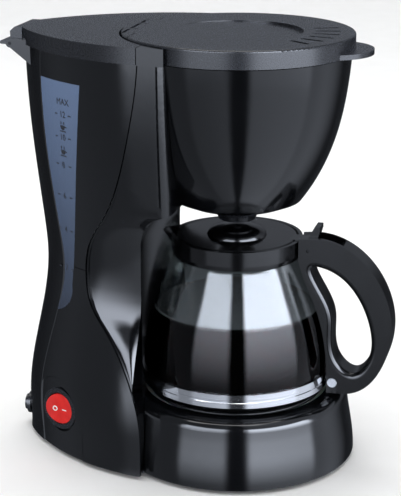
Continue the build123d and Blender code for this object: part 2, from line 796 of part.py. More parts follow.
disc_low_z = valve_seat_z + plunger_drop + 0.1
disc_top_z = disc_low_z + 1.6
with BuildPart() as valve_plunger:
    with BuildSketch(Plane.XZ):
        with BuildLine():
            nose = ThreePointArc((0, plunger_tip_z), (3.0, plunger_tip_z + 0.8), (plunger_tip_r, plunger_tip_z + 2.6))
            Polyline(
                nose @ 1,
                (plunger_tip_r, disc_low_z),
                (7.2, disc_low_z),
                (7.2, disc_top_z),
                (1.8, disc_top_z),
                (1.8, 191),
                (0, 191),
                nose @ 0,
            )
        make_face()
    revolve(axis=Axis.Z)
save(valve_plunger.part, "valve_plunger")

wire_r = 0.45
with BuildPart() as valve_spring:
    with BuildLine() as coil:
        Helix(pitch=(valve_cap_z - disc_top_z - 2 * wire_r) / 3, height=valve_cap_z - disc_top_z - 2 * wire_r, radius=3.2, center=(0, 0, disc_top_z + wire_r))
    coil_path = coil.wires()[0]
    with BuildSketch(Plane(origin=coil_path @ 0, z_dir=coil_path % 0)):
        Circle(wire_r)
    sweep()
save(valve_spring.part, "valve_spring")

basket_top_z = 291.0
basket_wall = 1.8
spigot_z = bowl_base_z + bowl_wall
with BuildPart() as filter_basket:
    with BuildSketch(Plane.XZ):
        with BuildLine():
            Polyline(
                (73.4, basket_top_z),
                (72.0, basket_top_z),
                (71.0, basket_top_z - 3),
                (30.0, 207),
                (12.2, 203),
                (12.2, spigot_z),
                (14.0, spigot_z),
                (14.0, 201.2),
                (31.5, 204.6),
                (72.6, basket_top_z - 4),
                (73.4, basket_top_z - 4),
                close=True,
            )
        make_face()
    revolve(axis=Axis.Z)
    with Locations((0, 0, spigot_z)):
        with PolarLocations(13, 4):
            Box(6, 6, 5, mode=Mode.SUBTRACT)
save(filter_basket.part, "filter_basket")

with BuildPart() as mesh_filter:
    with BuildSketch(Plane.XZ):
        with BuildLine():
            Polyline(
                (70.6, basket_top_z - 1),
                (69.4, basket_top_z - 1),
                (29.0, 211.5),
                (0, 209.5),
                (0, 208.5),
                (30.0, 210.2),
                (68.0, 284.0),
                (70.2, 288.2),
                close=True,
            )
        make_face()
    revolve(axis=Axis.Z)
save(mesh_filter.part, "mesh_filter")

# Tank lid: a crescent over the tank, hinged at the rear, with a thumb tongue
tank_skirt_z = rim_z + 0.3
tank_skirt_t = 4.0
block_half = 18.0
with BuildPart() as tank_lid:
    with BuildSketch(Plane.XY.offset(tank_lid_top_z - tank_lid_t)):
        make_face(tower_plan(tank_lid_inset, neck_y + 0.3))
        Circle(lid_gap_r, mode=Mode.SUBTRACT)
    extrude(amount=tank_lid_t)
    with BuildSketch(Plane.XY.offset(tank_skirt_z)):
        make_face(tower_plan(tank_lid_inset, neck_y + 0.3))
        make_face(tower_plan(tank_lid_inset + tank_skirt_t, neck_y - 6), mode=Mode.SUBTRACT)
    extrude(amount=tank_lid_top_z - tank_lid_t - tank_skirt_z)
    with BuildSketch(Plane.YZ.offset(-block_half)):
        with BuildLine():
            Polyline(
                (152.5, tank_skirt_z),
                (tank_hinge_y + 1, tank_skirt_z),
                (tank_hinge_y + 1.5, tank_lid_top_z - 3),
                (tank_hinge_y - 2, tank_lid_top_z),
                (152.5, tank_lid_top_z),
                close=True,
            )
        make_face()
        with Locations((tank_hinge_y, tank_hinge_z)):
            Circle(2.6)
        with Locations((tank_hinge_y + 4.5, tank_hinge_z - 0.3)):
            SlotOverall(10, 2.6)
    extrude(amount=2 * block_half)
    with Locations((-ear_x, 150, tank_skirt_z), (ear_x, 150, tank_skirt_z)):
        Box(ear_w + 1.2, 40, 2 * (tank_hinge_z + ear_r + 0.6 - tank_skirt_z), mode=Mode.SUBTRACT)
    with Locations(Location((0, tank_hinge_y, tank_hinge_z), (0, 90, 0))):
        Cylinder(pin_r + pin_play, 100, mode=Mode.SUBTRACT)
save(tank_lid.part, "tank_lid")

with BuildPart() as tank_lid_pin:
    with Locations(Location((0, tank_hinge_y, tank_hinge_z), (0, 90, 0))):
        Cylinder(pin_r, 2 * ear_x + ear_w)
save(tank_lid_pin.part, "tank_lid_pin")

# Switch: bezel, body and a round rocker that tips about an upright axis
recess = -1.5
socket_r = 12.1
rocker_r = 11.4
pivot_depth = -3.5
rocker_tilt = 7.0
with BuildPart() as switch_bezel:
    with BuildSketch(switch_plane.offset(recess)):
        Circle(15.6)
        Circle(socket_r, mode=Mode.SUBTRACT)
    extrude(amount=1.7)
save(switch_bezel.part, "switch_bezel")

with BuildPart() as switch_body:
    with BuildSketch(switch_plane.offset(recess)):
        Circle(13.6)
    extrude(amount=-20)
    with BuildSketch(switch_plane.offset(recess)):
        Circle(socket_r)
    extrude(amount=-8, mode=Mode.SUBTRACT)
    with Locations(switch_plane.location * Location((0, 0, pivot_depth), (90, 0, 0))):
        Cylinder(1.36, 26.2, mode=Mode.SUBTRACT)
    with BuildSketch(switch_plane.offset(recess - 20)):
        with GridLocations(9, 1, 2, 1):
            Rectangle(0.9, 6)
    extrude(amount=-8)
save(switch_body.part, "switch_body")

rocker_plane = Plane(
    origin=switch_plane.offset(pivot_depth).origin,
    x_dir=switch_plane.x_dir.rotate(Axis.Z, rocker_tilt),
    z_dir=switch_normal.rotate(Axis.Z, rocker_tilt),
)
rocker_top = 5.1
scoop_r = 46.0
with BuildPart() as rocker:
    with BuildSketch(rocker_plane.offset(-3.7)):
        Circle(rocker_r)
    extrude(amount=rocker_top + 3.7)
    with Locations(rocker_plane.location * Location((0, 0, rocker_top + scoop_r - 1.4), (90, 0, 0))):
        Cylinder(scoop_r, 60, mode=Mode.SUBTRACT)
    with Locations(rocker_plane.location * Location((0, 0, 0), (90, 0, 0))):
        Cylinder(1.3, 25.8)
save(rocker.part, "rocker")

with BuildPart() as cord_gland:
    with Locations(Location((0, 158, gland_z), (90, 0, 0))):
        Cylinder(5.95, 14)
    with Locations(Location((0, 161.2, gland_z), (90, 0, 0))):
        Cylinder(8.4, 2.6)
    with Locations(Location((0, 158, gland_z), (90, 0, 0))):
        Cylinder(3.4, 40, mode=Mode.SUBTRACT)
save(cord_gland.part, "cord_gland")

# Jug: glass, plastic collar with a spout, steel strap and a D-shaped handle
neck_r = 44.0
glass_rim_z = 159.6


def jug_side(inset):
    """Points up the glass, from the heel to the neck."""
    side = [(60.0, 52.6), (66.6, 62.0), (jug_r, 72.0), (65.4, 91.0), (60.2, 112.0), (52.6, 131.0), (neck_r + 1.4, 147.0)]
    return [(r - inset, z) for r, z in side]


with BuildPart() as glass_jug:
    with BuildSketch(Plane.XZ):
        with BuildLine():
            outer = Spline(*jug_side(0))
            inner = Spline(*jug_side(jug_wall))
            Polyline(outer @ 1, (neck_r, 149.6), (neck_r, glass_rim_z), (neck_r - jug_wall, glass_rim_z))
            Polyline((neck_r - jug_wall, glass_rim_z), (neck_r - jug_wall, 149.6), inner @ 1)
            Polyline(outer @ 0, (56, jug_floor_z), (0, jug_floor_z), (0, jug_floor_z + 3), (55, jug_floor_z + 3), inner @ 0)
        make_face()
    revolve(axis=Axis.Z)
save(glass_jug.part, "glass_jug")

collar_low_z = 150.0
collar_bore_r = neck_r + 0.3
arm_half = 6.8
with BuildPart() as jug_collar:
    with BuildSketch(Plane.XZ):
        with BuildLine():
            Polyline(
                (collar_bore_r, collar_low_z),
                (collar_r - 0.8, collar_low_z),
                (collar_r, collar_low_z + 3),
                (collar_r, collar_top_z),
                (collar_bore_r, collar_top_z),
                close=True,
            )
        make_face()
    revolve(axis=Axis.Z)
    with BuildSketch(Plane.XY.offset(collar_low_z + 0.6)):
        with Locations((0, 39.5)):
            Circle(7)
    with BuildSketch(Plane.XY.offset(collar_top_z)):
        with Locations((0, 42)):
            Circle(12.5)
    loft()
    with BuildSketch(Plane.XY.offset(collar_low_z + 0.6)):
        with Locations((0, 39.5)):
            Circle(5)
    with BuildSketch(Plane.XY.offset(collar_top_z)):
        with Locations((0, 42)):
            Circle(10.5)
    loft(mode=Mode.SUBTRACT)
    with Locations((0, 0, 150)):
        Cylinder(collar_bore_r, 60, mode=Mode.SUBTRACT)
    with Locations((0, -collar_r, collar_top_z)):
        Box(2 * arm_half + 1.6, 12, 16, mode=Mode.SUBTRACT)
save(jug_collar.part, "jug_collar")

strap_low_z = 56.8
strap_high_z = 66.6
strap_r = 67.6
lug_y = -77.0
handle_round = 4.0
clamp_screw = (-73.6, 60.6)
with BuildPart() as jug_strap:
    with BuildSketch(Plane.XZ):
        with BuildLine():
            Polyline(
                (strap_r, strap_low_z),
                (strap_r + 1.1, strap_low_z),
                (strap_r + 1.1, 60.6),
                (strap_r + 0.6, 61.0),
                (strap_r + 0.6, 62.4),
                (strap_r + 1.1, 62.8),
                (strap_r + 1.1, strap_high_z),
                (strap_r, strap_high_z),
                close=True,
            )
        make_face()
    revolve(axis=Axis.Z)
    with Locations((-2.6, (lug_y - strap_r) / 2, 61.7), (2.6, (lug_y - strap_r) / 2, 61.7)):
        Box(1.2, -lug_y - strap_r, strap_high_z - strap_low_z - 0.6)
    with Locations(Location((0, *clamp_screw), (0, 90, 0))):
        Cylinder(2.0, 30, mode=Mode.SUBTRACT)
save(jug_strap.part, "jug_strap")

with BuildPart() as jug_handle:
    with BuildSketch(Plane.YZ):
        with BuildLine():
            grip = Spline((-62, 167.2), (-88.4, 157), (-107, 135), (-115.2, 106), (-110.5, 79), (-96, 58), (-80, 52.6))
            heel = Polyline(grip @ 1, (-69.4, 52.6), (-69.4, 68))
            back = Spline((-69.4, 68), (-66.9, 91), (-61.4, 113), (-53.6, 132), (-47.6, 148))
            Polyline(back @ 1, (-47.2, 150), (-47.2, 166), grip @ 0)
        make_face()
        with BuildLine():
            Spline(
                (-60, 146),
                (-79, 138),
                (-92.5, 121),
                (-100, 99),
                (-99, 81),
                (-88, 68.5),
                (-77, 76),
                (-72.5, 104),
                (-66.5, 124),
                periodic=True,
            )
        make_face(mode=Mode.SUBTRACT)
    extrude(amount=handle_w / 2, both=True)
    curves = jug_handle.edges().filter_by(GeomType.BSPLINE).sort_by(SortBy.LENGTH)
    fillet(curves[-4:], handle_round)
    with BuildSketch(Plane.YZ):
        with BuildLine():
            Polyline((-40, 151), (-58, 151), (-66, 156), (-82, 164.5), (-82, 190), (-40, 190), close=True)
        make_face()
    extrude(amount=arm_half + 0.8, both=True, mode=Mode.SUBTRACT)
    with Locations(Location((0, jug_hinge_y, jug_hinge_z), (0, 90, 0))):
        Cylinder(pin_r + 0.02, 60, mode=Mode.SUBTRACT)
    with Locations((0, -73.4, 61.7)):
        Box(7.6, 9.2, 11, mode=Mode.SUBTRACT)
    with Locations(Location((0, *clamp_screw), (0, 90, 0))):
        Cylinder(2.0, 60, mode=Mode.SUBTRACT)
    with Locations(Location((-handle_w / 2, *clamp_screw), (0, 90, 0))):
        Cylinder(3.6, 3, mode=Mode.SUBTRACT)
    with BuildSketch(Plane.YZ.offset(handle_w / 2 - 4)):
        with Locations(clamp_screw):
            RegularPolygon(3.7, 6)
    extrude(amount=10, mode=Mode.SUBTRACT)
    with Locations((0, 0, 160)):
        Cylinder(collar_r + 0.05, 60, mode=Mode.SUBTRACT)
save(jug_handle.part, "jug_handle")

with BuildPart() as handle_screw:
    with Locations(Location((-handle_w / 2 + 0.5, *clamp_screw), (0, 90, 0))):
        Cylinder(3.4, 2)
    with Locations(Location((0, *clamp_screw), (0, 90, 0))):
        Cylinder(1.9, handle_w - 1)
save(handle_screw.part, "handle_screw")

with BuildPart() as handle_nut:
    with BuildSketch(Plane.YZ.offset(handle_w / 2 - 4)):
        with Locations(clamp_screw):
            RegularPolygon(3.5, 6)
            Circle(1.95, mode=Mode.SUBTRACT)
    extrude(amount=2.8)
save(handle_nut.part, "handle_nut")

lid_r = 43.2
lid_flange_z = 163.8
lid_low_z = 160.3
dome_r = 21.5
dome_top_z = 171.5
with BuildPart() as jug_lid:
    with BuildSketch(Plane.XZ):
        with BuildLine():
            dome = Spline((0, dome_top_z), (12, 170.4), (19, 167.6), (dome_r, lid_flange_z), tangents=((1, 0), (0.3, -1)))
            under = Spline((0, dome_top_z - 2), (12, 168.4), (17.4, 165.6), (19.5, lid_flange_z - 2), tangents=((1, 0), (0.3, -1)))
            Polyline(dome @ 1, (lid_r - 0.6, lid_flange_z), (lid_r, lid_flange_z - 0.6), (lid_r - 1, lid_low_z))
            Polyline((lid_r - 1, lid_low_z), (lid_r - 3, lid_low_z), (lid_r - 3, lid_flange_z - 2), under @ 1)
            Line(dome @ 0, under @ 0)
        make_face()
    revolve(axis=Axis.Z)
    with BuildSketch(Plane.YZ):
        with BuildLine():
            Polyline(
                (-40, lid_low_z + 1.2),
                (-50, lid_low_z + 0.4),
                (jug_hinge_y, jug_hinge_z - 3.4),
                (jug_hinge_y - 3.4, jug_hinge_z),
                (-61.5, 171.5),
                (-61.5, 174.6),
                (-57.6, 174.6),
                (-53, 165.5),
                (-48, lid_flange_z + 1),
                (-40, lid_flange_z + 0.4),
                close=True,
            )
        make_face()
    extrude(amount=arm_half, both=True)
    with Locations(Location((0, jug_hinge_y, jug_hinge_z), (0, 90, 0))):
        Cylinder(pin_r + pin_play, 60, mode=Mode.SUBTRACT)
save(jug_lid.part, "jug_lid")

with BuildPart() as jug_lid_pin:
    with Locations(Location((0, jug_hinge_y, jug_hinge_z), (0, 90, 0))):
        Cylinder(pin_r, handle_w - 2)
save(jug_lid_pin.part, "jug_lid_pin")
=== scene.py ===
import json
from math import atan2, radians
import bpy
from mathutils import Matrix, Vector

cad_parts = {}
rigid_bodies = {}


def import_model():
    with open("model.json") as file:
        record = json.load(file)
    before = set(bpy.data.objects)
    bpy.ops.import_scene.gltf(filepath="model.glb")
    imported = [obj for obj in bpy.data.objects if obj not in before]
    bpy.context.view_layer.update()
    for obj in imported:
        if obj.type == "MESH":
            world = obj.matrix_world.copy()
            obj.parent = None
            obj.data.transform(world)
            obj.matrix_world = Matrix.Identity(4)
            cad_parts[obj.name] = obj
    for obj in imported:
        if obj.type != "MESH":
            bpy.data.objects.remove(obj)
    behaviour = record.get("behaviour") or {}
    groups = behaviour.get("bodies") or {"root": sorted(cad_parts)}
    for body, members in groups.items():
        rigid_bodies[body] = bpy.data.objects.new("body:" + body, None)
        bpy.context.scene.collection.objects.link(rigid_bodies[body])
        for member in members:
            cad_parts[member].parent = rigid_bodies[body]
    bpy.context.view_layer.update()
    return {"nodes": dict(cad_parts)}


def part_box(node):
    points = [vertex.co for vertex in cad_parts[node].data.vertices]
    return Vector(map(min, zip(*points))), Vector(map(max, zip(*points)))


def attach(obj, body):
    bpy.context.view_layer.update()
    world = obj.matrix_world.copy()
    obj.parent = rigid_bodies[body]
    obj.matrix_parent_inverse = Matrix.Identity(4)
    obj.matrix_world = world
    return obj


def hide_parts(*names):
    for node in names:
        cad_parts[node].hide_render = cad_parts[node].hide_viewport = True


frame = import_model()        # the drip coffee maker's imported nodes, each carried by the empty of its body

mm = 0.001
bpy.ops.object.select_all(action="DESELECT")

# Outer skins: drum, column, side panels, rear cover, brew bowl and switch insert.
# Black ABS, injection moulded in polished steel tools, then clipped together and screwed from below.


def linear(hex_colour):
    """The linear RGBA of an sRGB hex colour."""
    channels = [int(hex_colour[i:i + 2], 16) / 255 for i in (1, 3, 5)]
    return [c / 12.92 if c <= 0.04045 else ((c + 0.055) / 1.055) ** 2.4 for c in channels] + [1.0]


def add_node(tree, kind, inputs=None, **settings):
    """Add one node with its settings, and give each named input a value or a link."""
    node = tree.nodes.new(kind)
    for name, value in settings.items():
        setattr(node, name, value)
    for socket, value in (inputs or {}).items():
        if isinstance(value, bpy.types.NodeSocket):
            tree.links.new(value, node.inputs[socket])
        else:
            node.inputs[socket].default_value = value
    return node


def start_material(name):
    """A new empty material, its node tree, and the object coordinates that its patterns read."""
    material = bpy.data.materials.new(name)
    material.use_nodes = True
    tree = material.node_tree
    tree.nodes.clear()
    return material, tree, add_node(tree, "ShaderNodeTexCoord").outputs["Object"]


def dress(material, *names):
    """Make this material the only one of each named CAD node."""
    for name in names:
        slots = frame["nodes"][name].data.materials
        slots.clear()
        slots.append(material)


# Gloss ABS: near black, with clear reflections that a faint mould waviness and finger haze soften.
tone_size = 45 * mm
haze_size = 16 * mm
peel_size = 5 * mm
gloss_abs, tree, coords = start_material("gloss_black_abs")
tone = add_node(tree, "ShaderNodeTexNoise", {"Vector": coords, "Scale": 1 / tone_size, "Detail": 3.0})
colour = add_node(
    tree,
    "ShaderNodeMix",
    {0: tone.outputs[0], 6: linear("#050608"), 7: linear("#090a0d")},
    data_type="RGBA",
)
haze = add_node(tree, "ShaderNodeTexNoise", {"Vector": coords, "Scale": 1 / haze_size, "Detail": 4.0})
gloss = add_node(tree, "ShaderNodeMapRange", {"Value": haze.outputs[0], "To Min": 0.07, "To Max": 0.15})
peel = add_node(tree, "ShaderNodeTexNoise", {"Vector": coords, "Scale": 1 / peel_size, "Detail": 1.0})
bump = add_node(
    tree, "ShaderNodeBump", {"Strength": 0.25, "Distance": 0.02 * mm, "Height": peel.outputs[0]}
)
shader = add_node(
    tree,
    "ShaderNodeBsdfPrincipled",
    {
        "Base Color": colour.outputs[2],
        "Roughness": gloss.outputs[0],
        "IOR": 1.54,
        "Normal": bump.outputs[0],
    },
)
add_node(tree, "ShaderNodeOutputMaterial", {"Surface": shader.outputs[0]})
dress(gloss_abs, "base_drum", "base_panel_left", "base_panel_right", "switch_panel")
dress(gloss_abs, "tank_panel_left", "tank_panel_right", "rear_cover", "brew_bowl")

# Column cheeks: the hollow swept from the front edge of the side panels in to the wall behind the jug.
# Part of the column's ABS moulding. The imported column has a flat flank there; on a copy it is cut away,
# as is the tank's wall close behind it, and the swept skin is set in its place on both sides.
cheek_step = 1.2
step_in_rows, step_out_rows = 3, 4
cheek_turn = 0.45
cheek_bulge = 3.0
handle_share = 2 / 3
cheek_skin = 1.5 * mm
cut_reach = 60 * mm
merge_gap = 0.001 * mm
smooth_angle = radians(30)
column_gap = 0.4 * mm
tank_gap = 2.0 * mm
left_of_all = -0.2
# Each row of the sweep in mm: Y and Z at the panel's edge, then X, Y and Z at the wall behind the jug.
cheek_rows = (
    (58.0, 70, (-73.0, 56.8, 70)),
    (60.8, 76, (-70.6, 56.8, 76)),
    (64.0, 82, (-67.8, 56.8, 82)),
    (69.0, 90, (-64.0, 56.8, 90)),
    (74.0, 97, (-60.2, 56.8, 97)),
    (80.0, 104, (-56.4, 56.8, 104)),
    (85.9, 110, (-53.5, 56.8, 110)),
    (90.7, 116, (-51.7, 56.8, 116)),
    (94.2, 123, (-51.0, 56.8, 123)),
    (96.2, 131, (-50.9, 56.8, 131)),
    (96.9, 142, (-50.9, 56.8, 142)),
    (96.2, 152, (-50.9, 56.8, 152)),
    (93.9, 160, (-50.9, 56.8, 160)),
    (90.8, 167, (-51.2, 56.6, 166.4)),
    (86.0, 175, (-53.7, 54.2, 175.5)),
    (79.9, 184, (-58.1, 49.5, 182.6)),
    (74.5, 193, (-63.4, 43.0, 187.9)),
    (69.9, 203, (-67.6, 36.5, 190.7)),
    (66.2, 213, (-69.0, 36.2, 198)),
)


def left_face(node, y, z):
    """Where a level line from the left meets a CAD node, and the way its face looks there."""
    start = Vector((left_of_all, y, z))
    _, spot, facing, _ = frame["nodes"][node].ray_cast(start, Vector((1, 0, 0)))
    return spot, facing


def flank(y, z):
    """The X of the column's flat flank beside a spot, in mm."""
    spot, _ = left_face("column", y * mm, z * mm)
    return spot.x / mm


def only(thing):
    """Select one object alone and make it active."""
    bpy.ops.object.select_all(action="DESELECT")
    thing.select_set(True)
    bpy.context.view_layer.objects.active = thing


def edit_all():
    """Open the active mesh for editing, with all of it selected."""
    bpy.ops.object.mode_set(mode="EDIT")
    bpy.ops.mesh.select_all(action="SELECT")


def leave_edit():
    """Close the mesh that is being edited."""
    bpy.ops.object.mode_set(mode="OBJECT")


def joined(pieces, name):
    """Join pieces into one object under one name."""
    bpy.ops.object.select_all(action="DESELECT")
    for piece in pieces:
        piece.select_set(True)
    bpy.context.view_layer.objects.active = pieces[0]
    bpy.ops.object.join()
    pieces[0].name = name
    return pieces[0]


def swept_row(seam_y, seam_z, edge, step):
    """One row of the hollow as a line of edges, bulged out towards the old flank."""
    seam = Vector((flank(seam_y, seam_z) + step, seam_y, seam_z))
    edge = Vector(edge)
    bulge = edge.lerp(seam, cheek_turn)
    bulge.x = max(bulge.x - cheek_bulge, flank(bulge.y, bulge.z))
    bpy.ops.curve.primitive_bezier_curve_add()
    spline = bpy.context.object.data.splines[0]
    for knot, spot in zip(spline.bezier_points, (seam, edge)):
        knot.handle_left_type = knot.handle_right_type = "FREE"
        knot.co = spot * mm
        knot.handle_left = knot.handle_right = spot.lerp(bulge, handle_share) * mm
    bpy.ops.object.convert(target="MESH")
    return bpy.context.object


def copied(thing, name):
    """A copy of an object that belongs to no body yet, selected alone."""
    only(thing)
    bpy.ops.object.duplicate()
    bpy.ops.object.parent_clear(type="CLEAR_KEEP_TRANSFORM")
    bpy.context.object.name = name
    return bpy.context.object


last_row = len(cheek_rows) - 1
rows = []
for row, (seam_y, seam_z, edge) in enumerate(cheek_rows):
    step = cheek_step * min(1.0, row / step_in_rows, (last_row - row) / step_out_rows)
    rows.append(swept_row(seam_y, seam_z, edge, step))
left_cheek = joined(rows, "column_cheek_left")
edit_all()
bpy.ops.mesh.bridge_edge_loops(type="SINGLE")
leave_edit()
right_cheek = copied(left_cheek, "column_cheek_right")
edit_all()
bpy.ops.transform.mirror(constraint_axis=(True, False, False), center_override=(0, 0, 0))
leave_edit()


def merged_copy(node):
    """A copy of a CAD node with its loose triangles merged, ready to cut."""
    copy = copied(frame["nodes"][node], node + "_cut")
    edit_all()
    bpy.ops.mesh.remove_doubles(threshold=merge_gap)
    bpy.ops.mesh.customdata_custom_splitnormals_clear()
    bpy.ops.mesh.normals_make_consistent(inside=False)
    leave_edit()
    return copy


column_cut = merged_copy("column")
tank_cut = merged_copy("water_tank")
for skin, outward in ((left_cheek, -1), (right_cheek, 1)):
    cutter = copied(skin, "cheek_cutter")
    edit_all()
    bpy.ops.mesh.extrude_region_move(TRANSFORM_OT_translate={"value": (outward * cut_reach, 0, 0)})
    bpy.ops.mesh.select_all(action="SELECT")
    bpy.ops.mesh.normals_make_consistent(inside=False)
    for body, inward in ((column_cut, column_gap), (tank_cut, tank_gap)):
        bpy.ops.transform.translate(value=(-outward * inward, 0, 0))
        leave_edit()
        only(body)
        cut = body.modifiers.new("cut", "BOOLEAN")
        cut.operation = "DIFFERENCE"
        cut.object = cutter
        bpy.ops.object.modifier_apply(modifier=cut.name)
        only(cutter)
        edit_all()
    leave_edit()
    bpy.data.objects.remove(cutter)
    only(skin)
    edit_all()
    bpy.ops.mesh.normals_make_consistent(inside=False)
    leave_edit()
    wall = skin.modifiers.new("wall", "SOLIDIFY")
    wall.thickness = cheek_skin
    wall.offset = -1
    bpy.ops.object.modifier_apply(modifier=wall.name)


def fit(piece, material, body):
    """Give a new piece its shading, its material and the body it moves with."""
    only(piece)
    bpy.ops.object.shade_smooth_by_angle(angle=smooth_angle)
    piece.data.materials.clear()
    piece.data.materials.append(material)
    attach(piece, body)


for piece in (column_cut, left_cheek, right_cheek):
    fit(piece, gloss_abs, "housing")
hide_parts("column")

# Lids, hinge bridge, floor plate, bezel and inner mouldings.
# The same black ABS, from tools with a spark-eroded finish that hides scratches, snapped on pins and clips.
# Their fine even grain spreads the light to dark grey. The real grit is 0.2 mm, drawn coarser to show.
grain_size = 0.7 * mm
satin_abs, tree, coords = start_material("satin_black_abs")
tone = add_node(tree, "ShaderNodeTexNoise", {"Vector": coords, "Scale": 1 / tone_size, "Detail": 3.0})
colour = add_node(
    tree,
    "ShaderNodeMix",
    {0: tone.outputs[0], 6: linear("#121317"), 7: linear("#191b20")},
    data_type="RGBA",
)
grain = add_node(tree, "ShaderNodeTexNoise", {"Vector": coords, "Scale": 1 / grain_size, "Detail": 2.0})
gloss = add_node(tree, "ShaderNodeMapRange", {"Value": grain.outputs[0], "To Min": 0.22, "To Max": 0.32})
bump = add_node(
    tree, "ShaderNodeBump", {"Strength": 0.12, "Distance": 0.03 * mm, "Height": grain.outputs[0]}
)
shader = add_node(
    tree,
    "ShaderNodeBsdfPrincipled",
    {
        "Base Color": colour.outputs[2],
        "Roughness": gloss.outputs[0],
        "IOR": 1.54,
        "Normal": bump.outputs[0],
    },
)
add_node(tree, "ShaderNodeOutputMaterial", {"Surface": shader.outputs[0]})
dress(satin_abs, "filter_lid", "hinge_bridge", "tank_lid", "base_plate", "switch_bezel", "switch_body")
dress(satin_abs, "cord_gland", "check_valve", "drip_nozzle", "filter_basket", "valve_plunger")

# Feet: four rubber buttons pressed into the floor plate.
# Moulded nitrile rubber, dull and slightly dusty, so that the machine doesn't slide on a worktop.
dust_size = 3 * mm
rubber, tree, coords = start_material("black_nitrile_rubber")
dust = add_node(tree, "ShaderNodeTexNoise", {"Vector": coords, "Scale": 1 / dust_size, "Detail": 5.0})
colour = add_node(
    tree,
    "ShaderNodeMix",
    {0: dust.outputs[0], 6: linear("#0b0b0b"), 7: linear("#232323")},
    data_type="RGBA",
)
bump = add_node(tree, "ShaderNodeBump", {"Strength": 0.2, "Distance": 0.05 * mm, "Height": dust.outputs[0]})
shader = add_node(
    tree,
    "ShaderNodeBsdfPrincipled",
    {"Base Color": colour.outputs[2], "Roughness": 0.75, "IOR": 1.52, "Normal": bump.outputs[0]},
)
add_node(tree, "ShaderNodeOutputMaterial", {"Surface": shader.outputs[0]})
dress(rubber, "rubber_feet")

# Screws, nuts, pins, clips, spring and the heater's small fittings.
# Cold-headed or stamped steel with bright zinc plating, grey with fine streaks from the tooling.
streak_size = 0.4 * mm
streak_length = 8 * mm
zinc_steel, tree, coords = start_material("zinc_plated_steel")
along = add_node(
    tree,
    "ShaderNodeMapping",
    {"Vector": coords, "Scale": (1 / streak_size, 1 / streak_size, 1 / streak_length)},
)
streaks = add_node(tree, "ShaderNodeTexNoise", {"Vector": along.outputs[0], "Scale": 1.0, "Detail": 2.0})
colour = add_node(
    tree,
    "ShaderNodeMix",
    {0: streaks.outputs[0], 6: linear("#a9abae"), 7: linear("#d4d6d8")},
    data_type="RGBA",
)
gloss = add_node(tree, "ShaderNodeMapRange", {"Value": streaks.outputs[0], "To Min": 0.22, "To Max": 0.38})
shader = add_node(
    tree,
    "ShaderNodeBsdfPrincipled",
    {"Base Color": colour.outputs[2], "Metallic": 1.0, "Roughness": gloss.outputs[0]},
)
add_node(tree, "ShaderNodeOutputMaterial", {"Surface": shader.outputs[0]})
dress(zinc_steel, "base_screws", "clamp_nut", "handle_nut", "heater_clamp", "hose_clips", "thermal_fuse")
dress(zinc_steel, "thermostat", "valve_spring")

# Hinge pins of the three lids.
# Ground steel wire, blackened in an oxide bath so that its ends don't show in the black mouldings.
black_steel, tree, coords = start_material("black_oxide_steel")
along = add_node(
    tree,
    "ShaderNodeMapping",
    {"Vector": coords, "Scale": (1 / streak_length, 1 / streak_size, 1 / streak_size)},
)
streaks = add_node(tree, "ShaderNodeTexNoise", {"Vector": along.outputs[0], "Scale": 1.0, "Detail": 2.0})
colour = add_node(
    tree,
    "ShaderNodeMix",
    {0: streaks.outputs[0], 6: linear("#0c0c0d"), 7: linear("#1b1c1e")},
    data_type="RGBA",
)
shader = add_node(
    tree, "ShaderNodeBsdfPrincipled", {"Base Color": colour.outputs[2], "Metallic": 0.6, "Roughness": 0.42}
)
add_node(tree, "ShaderNodeOutputMaterial", {"Surface": shader.outputs[0]})
dress(black_steel, "filter_lid_pin", "tank_lid_pin", "jug_lid_pin")

# Hot plate under the jug.
# Pressed aluminium with a baked black non-stick coat, clamped over the heating element.
# The coat is dark and even with a pale metallic fleck, as on a frying pan.
fleck_size = 1.1 * mm
coat, tree, coords = start_material("black_nonstick_coat")
fleck = add_node(tree, "ShaderNodeTexVoronoi", {"Vector": coords, "Scale": 1 / fleck_size})
sparse = add_node(
    tree, "ShaderNodeMapRange", {"Value": fleck.outputs["Distance"], "From Min": 0.10, "From Max": 0.22}
)
colour = add_node(
    tree,
    "ShaderNodeMix",
    {0: sparse.outputs[0], 6: linear("#4b4d50"), 7: linear("#0f1012")},
    data_type="RGBA",
)
bump = add_node(
    tree, "ShaderNodeBump", {"Strength": 0.15, "Distance": 0.03 * mm, "Height": fleck.outputs["Distance"]}
)
shader = add_node(
    tree,
    "ShaderNodeBsdfPrincipled",
    {"Base Color": colour.outputs[2], "Roughness": 0.32, "IOR": 1.35, "Normal": bump.outputs[0]},
)
add_node(tree, "ShaderNodeOutputMaterial", {"Surface": shader.outputs[0]})
dress(coat, "hot_plate")

# Heating element, its water tube and the spray arm over the basket.
# Drawn aluminium, cut and bent, left raw: a soft grey metal with fine lines along the draw.
line_size = 0.3 * mm
line_length = 15 * mm
alloy, tree, coords = start_material("drawn_aluminium")
along = add_node(
    tree,
    "ShaderNodeMapping",
    {"Vector": coords, "Scale": (1 / line_length, 1 / line_size, 1 / line_size)},
)
lines = add_node(tree, "ShaderNodeTexNoise", {"Vector": along.outputs[0], "Scale": 1.0, "Detail": 2.0})
colour = add_node(
    tree,
    "ShaderNodeMix",
    {0: lines.outputs[0], 6: linear("#b4b7ba"), 7: linear("#dcdee0")},
    data_type="RGBA",
)
gloss = add_node(tree, "ShaderNodeMapRange", {"Value": lines.outputs[0], "To Min": 0.28, "To Max": 0.42})
shader = add_node(
    tree,
    "ShaderNodeBsdfPrincipled",
    {"Base Color": colour.outputs[2], "Metallic": 1.0, "Roughness": gloss.outputs[0]},
)
add_node(tree, "ShaderNodeOutputMaterial", {"Surface": shader.outputs[0]})
dress(alloy, "heating_element", "heater_tube", "spray_arm")

